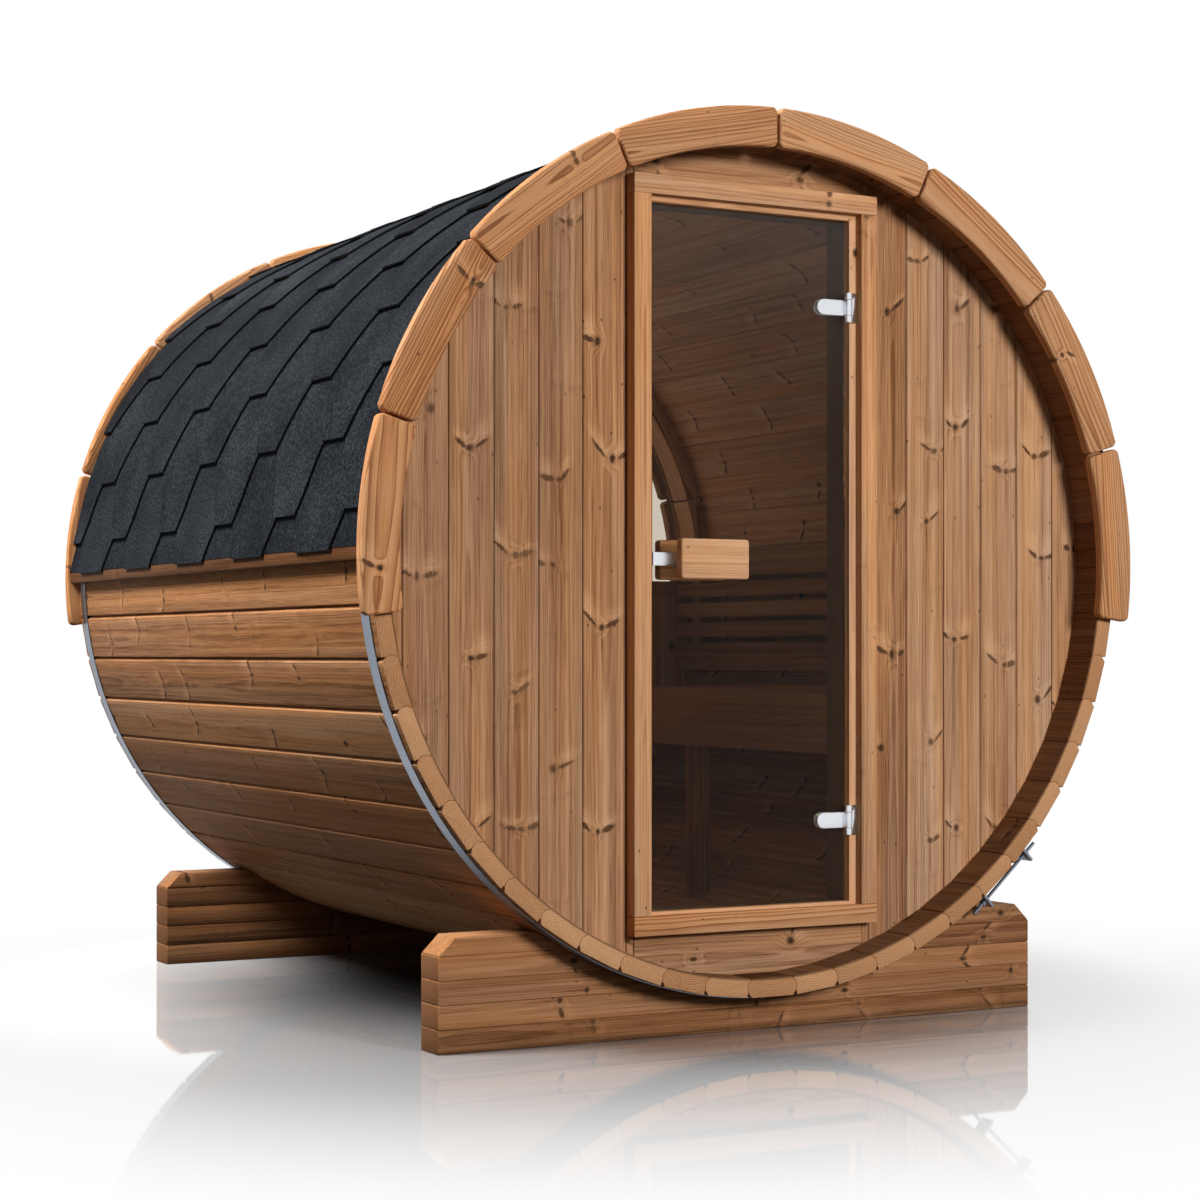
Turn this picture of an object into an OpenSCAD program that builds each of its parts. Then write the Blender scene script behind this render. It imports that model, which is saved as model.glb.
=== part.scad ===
// Barrel sauna: a hollow barrel of bead-and-cove staves on two cradles, with a glass door in the
// front wall, a half-moon window in the rear wall, a shingled roof and one bench inside.
// Millimetres. The origin is on the ground under the middle of the barrel, the barrel lies along Y,
// the door faces -Y and +Z is up. Places marked "from the front" count from the front stave ends.

/* [Barrel] */
// Radius over the flat faces of the staves
barrel_r = 965; // [850:5:1100]
// Length of the staves
barrel_l = 2000; // [1700:10:2600]
// Free height under the lowest stave
ground_gap = 83; // [60:1:120]
// Number of staves round the barrel
stave_count = 54; // [48:6:60]
// Thickness of a stave
stave_t = 42; // [36:1:48]
// Depth of the top of a stave's bead under its faces
bead_inset = 0.5; // [0.5:0.5:4]
// How far the bead stands into its neighbour's cove
bead_proud = 9; // [4:0.5:11]
// Bevel along a stave's outer edges
stave_bevel = 2; // [1:0.5:4]
// Bevel along a stave's inner edges
stave_inner_bevel = 2; // [0.5:0.5:3]
// Width of the open joint on the barrel's outside
open_joint_w = 8.5; // [3:0.5:12]
// Depth of the open joint on the barrel's outside
open_joint_d = 9; // [3:0.5:12]
// Depth of the groove in the staves that holds the end walls
croze_depth = 12; // [8:1:15]

/* [Cradles] */
// Length of a cradle across the barrel
cradle_l = 1550; // [1400:10:1700]
// Thickness of a cradle along the barrel
cradle_t = 88; // [70:1:110]
// Height of each full plank in a cradle
cradle_plank_h = 51.5; // [45:0.5:60]
// Height of the narrow top plank
cradle_top_h = 40; // [30:1:50]
// Full planks under the top plank
cradle_planks = 4; // [4:1:5]
// Bevel on the upper ends of a cradle
cradle_bevel = 40; // [10:1:60]
// Distance from the stave ends to a cradle
cradle_inset = 83; // [70:1:200]

/* [Hoops] */
// Width of a steel hoop
hoop_w = 40; // [25:1:50]
// Thickness of a steel hoop
hoop_t = 1.5; // [1:0.1:3]
// Distance from the stave ends to a hoop
hoop_inset = 20; // [10:1:28]
// Angle from the top to the middle of the tensioner, on the right
tensioner_a = 137.6; // [120:0.1:145]
// Distance between the hoop's two ends
tensioner_span = 148; // [100:1:180]
// Height of the lugs on the hoop's ends
lug_h = 44; // [30:1:60]
// Thickness of the lugs
lug_t = 6; // [4:0.5:10]
// Length of the tensioner's threaded rod
tensioner_rod_l = 235; // [200:1:260]
// Radius of the tensioner's threaded rod
tensioner_rod_r = 4; // [3:0.5:5]
// Radius of the tensioner's nuts
tensioner_nut_r = 8; // [7:0.5:12]

/* [Roof] */
// Angle from the top to the lower edge of the shingles
eave_a = 89; // [85:0.5:89]
// Angle from the top to the butts of the lowest course
lowest_butt_a = 84.6; // [80:0.1:86]
// Height of a course of shingles that is left showing
course_exposure = 158; // [120:1:200]
// Thickness of the shingles where their layers overlap
shingle_t = 7.5; // [3:0.5:9]
// Step from a shingle's butt to the course under it
shingle_step = 5.5; // [2:0.5:8]
// Height of the eave batten
batten_h = 33; // [25:1:45]
// Thickness of the eave batten
batten_t = 22; // [15:1:30]

/* [Roof-edge trims] */
// Curved boards at each end
trim_count = 8; // [6:2:12]
// Width of a trim board
trim_w = 88; // [70:1:110]
// Thickness of a trim board
trim_t = 28; // [20:1:35]
// How far the trim stands out past the staves
trim_proud = 32.5; // [25:0.5:45]
// Angle from the top to the lowest trim end
trim_end_a = 97.7; // [92:0.1:105]
// Gap between trim boards
trim_gap = 6; // [3:0.5:10]
// Corner radius of a trim board
trim_corner_r = 18; // [5:1:25]

/* [End walls] */
// Thickness of the end walls
wall_t = 40; // [34:1:50]
// Depth of the end walls behind the stave ends
wall_inset = 91; // [80:1:110]
// Width of a wall board
board_w = 106.7; // [90:0.1:125]
// Width of the narrow board beside the doorway
stile_w = 20; // [15:1:40]
// Bevel along a wall board's outer edges
board_bevel = 2; // [1:0.5:5]
// Setback of a wall board's edges in front of its tongue
board_lip = 0.9; // [0.5:0.1:2]
// Depth of that setback
board_lip_d = 10; // [6:1:15]

/* [Door frame] */
// Clear width, before the latch jamb's smaller reveal widens it
clear_w = 512; // [480:1:600]
// Height of the wall over the door frame, at the middle
over_door_h = 115; // [100:1:160]
// Height of the wall under the door frame, at the middle
under_door_h = 135; // [110:1:180]
// Thickness of a jamb
jamb_t = 44; // [30:1:50]
// Thickness of the frame's head
head_t = 36; // [25:1:45]
// Thickness of the threshold
threshold_t = 28; // [20:1:40]
// Depth of the frame along the barrel
frame_d = 93; // [75:1:110]
// Place of the frame's front face, from the front
frame_front = 77; // [74:0.5:80]
// Width of a casing board
casing_w = 43; // [35:0.5:60]
// Place of the casing's front face, from the front
casing_front = 55; // [45:0.5:60]
// Width of the hinge jamb left showing beside the casing
jamb_reveal = 20; // [18:0.5:24]
// Width of the latch jamb left showing beside the casing
latch_reveal = 12; // [8:0.5:20]
// Height of the head left showing under the casing
head_reveal = 14; // [8:0.5:20]
// Height of the threshold left showing over the casing
sill_reveal = 7; // [4:0.5:15]

/* [Door] */
// Thickness of the glass
glass_t = 8; // [6:1:10]
// Place of the glass's front face, from the front
glass_front = 85; // [84:0.5:90]
// Gap between the glass and the frame
glass_gap = 6; // [5:0.5:8]
// Place of the hinge axis, from the front
hinge_front = 70; // [68:0.5:71]
// Radius of a hinge knuckle
knuckle_r = 8; // [7:0.5:9]
// Radius of a hinge pin
pin_r = 3.5; // [2.5:0.1:4]
// Height of a hinge
hinge_h = 67; // [55:1:80]
// Height of a hinge's leaf
leaf_h = 36; // [30:1:45]
// Length of a hinge's leaf on the glass
leaf_l = 75; // [60:1:90]
// Thickness of a hinge's plates
hinge_plate_t = 6; // [4:0.5:7]
// Height of the lower hinge's middle above the threshold
low_hinge_z = 186; // [120:1:300]
// Depth of the upper hinge's middle under the frame's head
high_hinge_drop = 200; // [120:1:300]
// Width of a handle block
handle_w = 173; // [140:1:200]
// Height of a handle block
handle_h = 88; // [70:1:110]
// Thickness of a handle block
handle_t = 26; // [20:1:32]
// Corner radius of a handle block
handle_corner_r = 8; // [3:1:15]
// Free space between a handle block and the glass
handle_space = 32; // [28:1:34]
// Distance from the glass's free edge to the handle block
handle_inset = 42; // [25:1:60]
// Depth of the handle's middle under the middle of the doorway
handle_drop = 4; // [0:1:100]
// Height of the steel strap under the outer block
strap_h = 29; // [20:1:40]
// Thickness of the steel strap
strap_t = 4; // [3:0.5:6]
// Radius of the handle's studs
stud_r = 8; // [6:0.5:10]

/* [Rear window] */
// Height of the window's lower edge above the barrel's axis
window_low = 12; // [-50:1:100]
// Height of the window's rail
rail_h = 46; // [35:1:80]
// Thickness of the window glass
pane_t = 8; // [6:1:10]
// Width of the curved beads round the glass
pane_bead_w = 42.5; // [25:0.5:60]
// Depth of the curved beads inside the glass
inner_bead_d = 84; // [20:1:84]
// Depth of the rail's groove for the glass
pane_groove = 12; // [8:1:20]

/* [Bench] */
// Depth of the seat under the barrel's axis
seat_drop = 303; // [250:1:350]
// Thickness of a seat board
seat_t = 28; // [20:1:35]
// Distance from the doorway to the bench's front
bench_door_gap = 50; // [40:1:120]
// Seat boards
seat_boards = 4; // [3:1:4]
// Gap between seat boards
seat_gap = 10; // [5:1:15]
// Thickness of the board under the seat's front edge
fascia_t = 16; // [12:1:25]
// Height of the board under the seat's front edge
fascia_h = 114; // [90:1:140]
// Width and depth of the bench's timbers
timber = 46; // [35:1:55]
// Distance from the staves beside the barrel's axis to the backrest's face
back_inset = 83; // [75:1:100]
// Gap between the seat and the backrest's face
seat_back_gap = 36; // [20:1:50]
// Thickness of a backrest slat
slat_t = 20; // [15:1:25]
// Height of a wide backrest slat
wide_slat_h = 80; // [60:1:100]
// Height of a narrow backrest slat
narrow_slat_h = 41; // [30:1:50]
// Narrow slats between the two wide ones
narrow_slats = 3; // [2:1:4]
// Gap between backrest slats
slat_gap = 17.75; // [10:0.25:25]
// Free height between the seat and the backrest
back_gap = 49; // [35:1:60]
// Distance from an end wall to the nearest backrest upright
upright_inset = 70; // [40:1:150]

/* [Hidden] */
// Clearance between pieces that seat on each other
seat = 0.2;
// Clearance between a bead and its cove, and between boards
joint_gap = 0.4;
// Radial clearance of a hinge pin
pin_gap = 0.05;
// Clearance between stacked hinge knuckles
knuckle_gap = 0.5;
// Gap between a hinge's turning parts and its fixed plate
hinge_room = 2;
// Overrun of every cut
over = 5;
// Inset of a trim corner's centre as a share of its radius: under 1 leaves a slight arris
corner_share = 0.94;
// Fineness of small circles, and of those round the barrel's axis
$fn = 64;
disc_fn = 720;

// Barrel
axis_z = ground_gap + barrel_r;
front_y = -barrel_l / 2;
half_a = 180 / stave_count;
inner_r = barrel_r - stave_t;
bead_r = stave_t / 2 - bead_inset;
corner_r = barrel_r / cos(half_a);
room_r = inner_r - seat;
croze_r = inner_r + croze_depth;
wall_r = croze_r - seat;
wall_in = wall_inset + wall_t;
group_size = stave_count / 6;
group_start = -floor((group_size - 1) / 2);

// Hoops and roof
hoop_r = corner_r + seat;
over_hoop_r = hoop_r + hoop_t + seat;
tensioner_half_a = asin(tensioner_span / 2 / over_hoop_r);
course_a = atan(course_exposure / over_hoop_r);
batten_low = over_hoop_r * cos(eave_a) - batten_h;
batten_x = over_hoop_r + batten_t;
eave_r = batten_x + seat;

// Trims
trim_out_r = barrel_r + trim_proud;
trim_in_r = trim_out_r - trim_w;
trim_a = 2 * trim_end_a / trim_count;

// Door
opening_x = clear_w / 2 + jamb_t;
clear_z = axis_z - croze_r + under_door_h + threshold_t;
clear_h = 2 * croze_r - under_door_h - over_door_h - threshold_t - head_t;
opening_low = clear_z - threshold_t;
opening_high = clear_z + clear_h + head_t;
casing_in_x = clear_w / 2 + jamb_reveal;
latch_x = casing_in_x - latch_reveal;
free_x = latch_x - glass_gap;
casing_low = clear_z - sill_reveal;
casing_high = clear_z + clear_h + head_reveal;
casing_d = wall_inset - casing_front - seat;
hinge_x = clear_w / 2 - glass_gap;
hinge_y = front_y + hinge_front;
glass_y = front_y + glass_front;
plate_x = hinge_x + knuckle_r + hinge_room;
plate_y = front_y + frame_front - seat - hinge_plate_t;
handle_x = handle_inset + handle_w / 2 - free_x;
handle_z = clear_z + clear_h / 2 - handle_drop;
stud_step = handle_w / 4;

// Rear window and bench
window_z = axis_z + window_low;
rail_z = window_z - rail_h;
pane_y = -front_y - wall_inset - wall_t / 2 - pane_t / 2;
outer_bead_d = (wall_t - pane_t) / 2 - 2 * seat;
pane_bead_r = inner_r - pane_bead_w;
room_front = front_y + wall_in + seat;
room_back = -front_y - wall_in - seat;
back_x = inner_r - back_inset;
bench_x = opening_x + bench_door_gap;
seat_pitch = (back_x - seat_back_gap + seat_gap - bench_x) / seat_boards;
seat_z = axis_z - seat_drop;
bearer_z = seat_z - seat_t - seat - timber;
post_x = bench_x + fascia_t + seat;
back_z = seat_z + back_gap;
back_h = 2 * wide_slat_h + narrow_slats * narrow_slat_h + (narrow_slats + 1) * slat_gap;

wood = "peru";
trim_wood = "burlywood";
steel = "silver";
bronze_glass = [0.22, 0.17, 0.13, 0.6];
slate = "darkslategray";

// Point at an angle from the top, seen along +Y, in the plane across the barrel
function at(a, r) = [r * sin(a), r * cos(a)];

// Outline across the barrel, given about the axis, drawn out along Y from y0 to y1
module along_barrel(y0, y1) {
    translate([0, y1, axis_z]) rotate([90, 0, 0]) linear_extrude(y1 - y0) children();
}

// Outline in X and Z, given from the ground, drawn out along Y from y0 to y1
module along_y(y0, y1) {
    translate([0, y1, 0]) rotate([90, 0, 0]) linear_extrude(y1 - y0) children();
}

// Circle round the barrel's axis
module disc(r) {
    circle(r, $fn = disc_fn);
}

// Rectangle with round corners about its middle
module rounded(w, h, r) {
    square([w - 2 * r, h], center = true);
    square([w, h - 2 * r], center = true);
    for (sx = [-1, 1], sz = [-1, 1])
        translate([sx * (w / 2 - r), sz * (h / 2 - r)]) circle(r);
}

// Sector between two angles from the top, wide enough to cut anything on the barrel
module sector(a0, a1) {
    far = 2 * trim_out_r;
    polygon([[0, 0], at(a0, far), at((a0 + a1) / 2, far), at(a1, far)]);
}

// Half width of a stave at a depth under its outer face
function stave_x(d) = (barrel_r - d) * tan(half_a) - joint_gap / 2;

// Frame on the joint plane between a stave and its neighbour, at the middle of its thickness
module stave_edge(side) {
    translate([0, -barrel_r]) rotate(-side * half_a)
        translate([0, (barrel_r - stave_t / 2) / cos(half_a)]) children();
}

// Section of one stave, its outer face on X and its inner face below
module stave_section(beads, coves) {
    bead_in = bead_r - bead_proud + joint_gap / 2;
    difference() {
        union() {
            polygon([
                for (s = [-1, 1]) [s * (stave_x(0) - stave_bevel), 0],
                [stave_x(stave_bevel), -stave_bevel],
                [stave_x(stave_t - stave_inner_bevel), stave_inner_bevel - stave_t],
                for (s = [1, -1]) [s * (stave_x(stave_t) - stave_inner_bevel), -stave_t],
                [-stave_x(stave_t - stave_inner_bevel), stave_inner_bevel - stave_t],
                [-stave_x(stave_bevel), -stave_bevel]
            ]);
            for (s = beads) stave_edge(s) translate([-s * bead_in, 0]) circle(bead_r);
        }
        for (s = coves) {
            stave_edge(s) translate([s * bead_in, 0]) circle(bead_r + joint_gap);
            open_joint(s);
        }
    }
}

// Rebate that leaves the joint over a bead open on the barrel's outside
module open_joint(side) {
    far = stave_x(0) + over;
    polygon([
        [side * (stave_x(0) - open_joint_w), over], [side * far, over],
        [side * far, -open_joint_d], [side * (stave_x(0) - open_joint_w), -open_joint_d]
    ]);
}

// Stave number k, counted from the top and to the right: every bead looks up, so that rain runs off
module stave(k) {
    turn = (k + stave_count) % stave_count;
    low = stave_count / 2;
    beads = turn == 0 ? [] : turn < low ? [-1] : turn > low ? [1] : [-1, 1];
    coves = turn == 0 ? [-1, 1] : turn < low ? [1] : turn > low ? [-1] : [];
    along_barrel(front_y, -front_y)
        rotate(-2 * half_a * turn) translate([0, barrel_r]) stave_section(beads, coves);
}

// One sixth of the barrel, with the grooves that hold the end walls
module stave_group(g) {
    first = group_start + g * group_size;
    difference() {
        for (k = [first : first + group_size - 1]) stave(k);
        for (s = [-1, 1]) at_end(s)
            along_barrel(front_y + wall_inset - seat, front_y + wall_in + seat) disc(croze_r);
    }
}

// The front end as drawn, or mirrored to the rear end
module at_end(s) {
    if (s < 0) children();
    else mirror([0, 1, 0]) children();
}

module staves_top() { color(wood) stave_group(0); }
module staves_upper_right() { color(wood) stave_group(1); }
module staves_lower_right() { color(wood) stave_group(2); }
module staves_bottom() { color(wood) stave_group(3); }
module staves_lower_left() { color(wood) stave_group(4); }
module staves_upper_left() { color(wood) stave_group(5); }

// Outline of a whole cradle with its bevelled upper ends
module cradle_outline() {
    top = cradle_planks * cradle_plank_h + cradle_top_h;
    polygon([
        [-cradle_l / 2, 0], [cradle_l / 2, 0],
        [cradle_l / 2, top - cradle_bevel], [cradle_l / 2 - cradle_bevel, top],
        [cradle_bevel - cradle_l / 2, top], [-cradle_l / 2, top - cradle_bevel]
    ]);
}

// Stack of planks, scooped out for the barrel
module cradle() {
    y0 = front_y + cradle_inset;
    difference() {
        for (i = [0 : cradle_planks]) {
            h = i < cradle_planks ? cradle_plank_h : cradle_top_h;
            gap = i > 0 ? joint_gap : 0;
            along_y(y0, y0 + cradle_t) intersection() {
                cradle_outline();
                translate([-cradle_l / 2, i * cradle_plank_h + gap]) square([cradle_l, h - gap]);
            }
        }
        along_barrel(y0 - over, y0 + cradle_t + over) disc(corner_r + seat);
    }
}

module cradle_front() { color(wood) cradle(); }
module cradle_rear() { color(wood) at_end(1) cradle(); }

// Steel strip round the barrel, open at the tensioner
module hoop() {
    y0 = front_y + hoop_inset;
    along_barrel(y0, y0 + hoop_w) difference() {
        disc(hoop_r + hoop_t);
        disc(hoop_r);
        sector(tensioner_a - tensioner_half_a, tensioner_a + tensioner_half_a);
    }
}

module hoop_front() { color(steel) hoop(); }
module hoop_rear() { color(steel) at_end(1) hoop(); }

// Lugs on the hoop's ends, and the threaded rod with nuts that pulls them together
module tensioner() {
    reach = tensioner_span / 2;
    base = over_hoop_r * cos(tensioner_half_a);
    rod_z = base + lug_h - 2 * tensioner_nut_r;
    nut_h = tensioner_nut_r;
    translate([0, front_y + hoop_inset + hoop_w / 2, axis_z]) rotate([0, tensioner_a, 0]) {
        for (s = [-1, 1]) {
            translate([s * (reach + lug_t / 2), 0, base + lug_h / 2])
                cube([lug_t, hoop_w, lug_h], center = true);
            translate([s * (reach + lug_t + nut_h / 2), 0, rod_z])
                rotate([0, 90, 0]) cylinder(nut_h, r = tensioner_nut_r, center = true, $fn = 6);
        }
        translate([0, 0, rod_z]) rotate([0, 90, 0])
            cylinder(tensioner_rod_l, r = tensioner_rod_r, center = true);
    }
}

module hoop_tensioners() { color(steel) for (s = [-1, 1]) at_end(s) tensioner(); }

// Half of the roof covering between the two ends' trims: stepped courses, and the lowest one kicks
// out over the eave batten
module shingles() {
    butt = shingle_t + shingle_step;
    courses = floor(lowest_butt_a / course_a);
    along_barrel(front_y, -front_y) difference() {
        polygon([
            [0, 0],
            at(0, over_hoop_r + shingle_t),
            for (i = [courses - 1 : -1 : 0])
                for (r = [butt, shingle_t])
                    at(lowest_butt_a - i * course_a, over_hoop_r + r),
            at(eave_a, eave_r + shingle_t),
            at(eave_a, eave_r),
            at(lowest_butt_a, over_hoop_r - shingle_t)
        ]);
        disc(over_hoop_r);
    }
}

module shingles_right() { color(slate) shingles(); }
module shingles_left() { color(slate) mirror([1, 0, 0]) shingles(); }

// Battens that carry the shingles' lower edges
module eave_battens() {
    color(wood) for (side = [0, 1]) mirror([side, 0, 0])
        translate([over_hoop_r, front_y, axis_z + batten_low])
            cube([batten_t, barrel_l, batten_h]);
}

// Waste outside a rounded corner whose two edges run along -X and -Y from the origin
module corner_waste(r) {
    inset = corner_share * r;
    translate([-inset, -inset]) difference() {
        square(inset + over);
        circle(r);
    }
}

// Curved trim boards in front of the stave ends
module trims() {
    gap_a = atan(trim_gap / 2 / trim_out_r);
    color(trim_wood)
    along_barrel(front_y - seat - trim_t, front_y - seat)
        for (i = [0 : trim_count - 1]) {
            a0 = i * trim_a - trim_end_a + gap_a;
            a1 = (i + 1) * trim_a - trim_end_a - gap_a;
            difference() {
                intersection() {
                    difference() {
                        disc(trim_out_r);
                        disc(trim_in_r);
                    }
                    sector(a0, a1);
                }
                rotate(-a1) translate([0, trim_out_r]) corner_waste(trim_corner_r);
                rotate(-a0) translate([0, trim_out_r]) rotate(90) corner_waste(trim_corner_r);
                rotate(-a0) translate([0, trim_in_r]) rotate(180) corner_waste(trim_corner_r);
                rotate(-a1) translate([0, trim_in_r]) rotate(270) corner_waste(trim_corner_r);
            }
        }
}

module front_trims() { trims(); }
module rear_trims() { at_end(1) trims(); }

// Upright wall board between two places across the barrel, bevelled on its outer face
module wall_board(x0, x1) {
    b = board_bevel;
    l0 = x0 + board_lip;
    l1 = x1 - board_lip;
    translate([0, front_y + wall_inset, 0]) linear_extrude(axis_z + croze_r) polygon([
        [l0 + b, 0], [l1 - b, 0], [l1, b], [l1, board_lip_d], [x1, board_lip_d],
        [x1, wall_t], [x0, wall_t], [x0, board_lip_d], [l0, board_lip_d], [l0, b]
    ]);
}

// Disc that the end walls are cut from, of a given radius
module wall_disc(r) {
    along_barrel(front_y + wall_inset - over, front_y + wall_in + over) disc(r);
}

// Boards beside the doorway: a narrow stile, then full boards to the staves
module side_boards() {
    first = opening_x + stile_w;
    count = ceil((wall_r - first) / board_w);
    color(wood) intersection() {
        union() {
            wall_board(opening_x, first - joint_gap);
            for (i = [0 : count - 1])
                wall_board(first + i * board_w, first + (i + 1) * board_w - joint_gap);
        }
        wall_disc(wall_r);
    }
}

module front_wall_right() { side_boards(); }
module front_wall_left() { mirror([1, 0, 0]) side_boards(); }

// Board across the wall between the stiles
module cross_board(z0, z1) {
    x = opening_x - joint_gap;
    color(wood) intersection() {
        translate([-x, front_y + wall_inset, z0]) cube([2 * x, wall_t, z1 - z0]);
        wall_disc(wall_r);
    }
}

module front_wall_over_door() { cross_board(opening_high + seat, axis_z + croze_r); }
module front_wall_under_door() { cross_board(0, opening_low - seat); }

// Upright boards of the rear wall, up to the window's rail
module rear_wall() {
    count = ceil(wall_r / board_w);
    color(wood) at_end(1) intersection() {
        union() for (i = [-count : count - 1])
            wall_board(i * board_w + joint_gap / 2, (i + 1) * board_w - joint_gap / 2);
        wall_disc(wall_r);
        translate([-barrel_r, front_y, 0]) cube([2 * barrel_r, barrel_l, rail_z - seat]);
    }
}

// Rail under the half-moon window, grooved for the glass
module window_rail() {
    color(wood) at_end(1) difference() {
        intersection() {
            wall_disc(wall_r);
            translate([-barrel_r, front_y + wall_inset, rail_z]) cube([2 * barrel_r, wall_t, rail_h]);
        }
        translate([-barrel_r, -pane_y - pane_t - seat, window_z - pane_groove])
            cube([2 * barrel_r, pane_t + 2 * seat, pane_groove + over]);
    }
}

// Half-moon pane, let into the rail and the staves
module window_glass() {
    color(bronze_glass) intersection() {
        along_barrel(pane_y, pane_y + pane_t) disc(wall_r);
        translate([-barrel_r, 0, window_z - pane_groove + seat])
            cube([2 * barrel_r, barrel_l, barrel_r]);
    }
}

// Curved beads on one side of the pane, from rail to rail, with their joints behind the trims' joints
module window_beads(y0, d, r) {
    gap_a = atan(trim_gap / 2 / r);
    color(wood) intersection() {
        along_barrel(y0, y0 + d) for (i = [0 : trim_count - 1]) intersection() {
            difference() {
                disc(r);
                disc(pane_bead_r);
            }
            sector(i * trim_a - trim_end_a + gap_a, (i + 1) * trim_a - trim_end_a - gap_a);
        }
        translate([-barrel_r, 0, window_z + seat]) cube([2 * barrel_r, barrel_l, barrel_r]);
    }
}

module window_beads_inside() { window_beads(pane_y - seat - inner_bead_d, inner_bead_d, room_r); }
module window_beads_outside() { window_beads(pane_y + pane_t + seat, outer_bead_d, wall_r); }

// Box between two places across the barrel and two heights, at a depth from the front
module front_box(x0, x1, y0, d, z0, z1) {
    translate([x0, front_y + y0, z0]) cube([x1 - x0, d, z1 - z0]);
}

module door_jamb(x0, x1) {
    front_box(x0, x1, frame_front, frame_d, clear_z + seat, clear_z + clear_h - seat);
}

module door_jambs() {
    color(trim_wood) {
        door_jamb(clear_w / 2, opening_x - seat);
        door_jamb(seat - opening_x, -latch_x);
    }
}

module door_head() {
    color(trim_wood) front_box(seat - opening_x, opening_x - seat, frame_front, frame_d,
        clear_z + clear_h, opening_high);
}

module door_threshold() {
    color(trim_wood) front_box(seat - opening_x, opening_x - seat, frame_front, frame_d,
        opening_low, clear_z);
}

// Casing boards lie on the wall and lap over the frame
module casing_sides() {
    color(trim_wood) for (side = [0, 1]) mirror([side, 0, 0]) difference() {
        front_box(casing_in_x, casing_in_x + casing_w, casing_front, casing_d,
            casing_low + seat, casing_high - seat);
        front_box(casing_in_x - over, opening_x, frame_front - seat, casing_d,
            casing_low - over, casing_high + over);
    }
}

module casing_head() {
    x = casing_in_x + casing_w;
    color(trim_wood) difference() {
        front_box(-x, x, casing_front, casing_d, casing_high, casing_high + casing_w);
        front_box(-opening_x, opening_x, frame_front - seat, casing_d,
            casing_high - over, opening_high + seat);
    }
}

module casing_sill() {
    x = casing_in_x + casing_w;
    color(trim_wood) difference() {
        front_box(-x, x, casing_front, casing_d, casing_low - casing_w, casing_low);
        front_box(-opening_x, opening_x, frame_front - seat, casing_d,
            opening_low - seat, casing_low + over);
    }
}

// Heights of the two hinges' middles
hinge_zs = [clear_z + low_hinge_z, clear_z + clear_h - high_hinge_drop];

// Fixed half of a hinge: a plate on the jamb, two knuckles and the pin
module hinge_plate() {
    knuckle_h = (hinge_h - leaf_h) / 2 - knuckle_gap;
    translate([plate_x, plate_y, -hinge_h / 2])
        cube([casing_in_x - seat - plate_x, hinge_plate_t, hinge_h]);
    for (z = [-hinge_h / 2, hinge_h / 2 - knuckle_h]) translate([0, 0, z]) {
        translate([hinge_x, hinge_y, 0]) cylinder(knuckle_h, r = knuckle_r);
        translate([hinge_x, plate_y, 0]) cube([plate_x + over - hinge_x, hinge_plate_t, knuckle_h]);
    }
    translate([hinge_x, hinge_y, -hinge_h / 2]) cylinder(hinge_h, r = pin_r);
}

module hinge_plates() {
    color(steel) for (z = hinge_zs) translate([0, 0, z]) hinge_plate();
}

// Moving half of a hinge: a round-ended leaf in front of the glass, a clamp behind it and a knuckle
module hinge_leaf() {
    leaf_end = hinge_x - knuckle_r / 2;
    leaf_y = glass_y - seat - hinge_plate_t;
    difference() {
        union() {
            leaf_plate(leaf_end, leaf_y);
            translate([hinge_x, hinge_y, -leaf_h / 2]) cylinder(leaf_h, r = knuckle_r);
            translate([hinge_x - knuckle_r, hinge_y, -leaf_h / 2])
                cube([knuckle_r, leaf_y + hinge_plate_t - hinge_y, leaf_h]);
        }
        translate([hinge_x, hinge_y, -leaf_h / 2 - over])
            cylinder(leaf_h + 2 * over, r = pin_r + pin_gap);
    }
    leaf_plate(leaf_end, glass_y + glass_t + seat);
}

// Round-ended plate of a leaf
module leaf_plate(x1, y0) {
    round_x = x1 - leaf_l + leaf_h / 2;
    along_y(y0, y0 + hinge_plate_t) {
        translate([round_x, -leaf_h / 2]) square([x1 - round_x, leaf_h]);
        translate([round_x, 0]) circle(leaf_h / 2);
    }
}

module hinge_leaves() {
    color(steel) for (z = hinge_zs) translate([0, 0, z]) hinge_leaf();
}

module door_glass() {
    color(bronze_glass) front_box(-free_x, hinge_x, glass_front, glass_t,
        clear_z + glass_gap, clear_z + clear_h - glass_gap);
}

// Handle block at a place along the barrel
module handle_block(y0) {
    color(trim_wood) along_y(y0, y0 + handle_t)
        translate([handle_x, handle_z]) rounded(handle_w, handle_h, handle_corner_r);
}

// Two studs that carry a handle block
module handle_studs(y0, y1) {
    along_y(y0, y1) for (s = [-1, 1])
        translate([handle_x + s * stud_step, handle_z]) circle(stud_r);
}

module handle_outside() { handle_block(glass_y - handle_space - handle_t); }

module handle_inside() { handle_block(glass_y + glass_t + handle_space); }

// Steel strap on the glass, from its free edge to under the outer block, and both blocks' studs
module handle_strap() {
    y1 = glass_y - seat;
    inside_y = glass_y + glass_t;
    color(steel) {
        translate([-free_x, y1 - strap_t, handle_z - strap_h / 2])
            cube([free_x + handle_x + stud_step + stud_r, strap_t, strap_h]);
        handle_studs(glass_y - handle_space + seat, y1 - strap_t / 2);
        handle_studs(inside_y + seat, inside_y + handle_space - seat);
    }
}

// Lengthwise seat boards on the bearers
module bench_seat() {
    color(trim_wood) for (i = [0 : seat_boards - 1])
        translate([bench_x + i * seat_pitch, room_front, seat_z - seat_t])
            cube([seat_pitch - seat_gap, room_back - room_front, seat_t]);
}

module bench_fascia() {
    color(trim_wood) translate([bench_x, room_front, seat_z - seat_t - seat - fascia_h])
        cube([fascia_t, room_back - room_front, fascia_h]);
}

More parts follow.
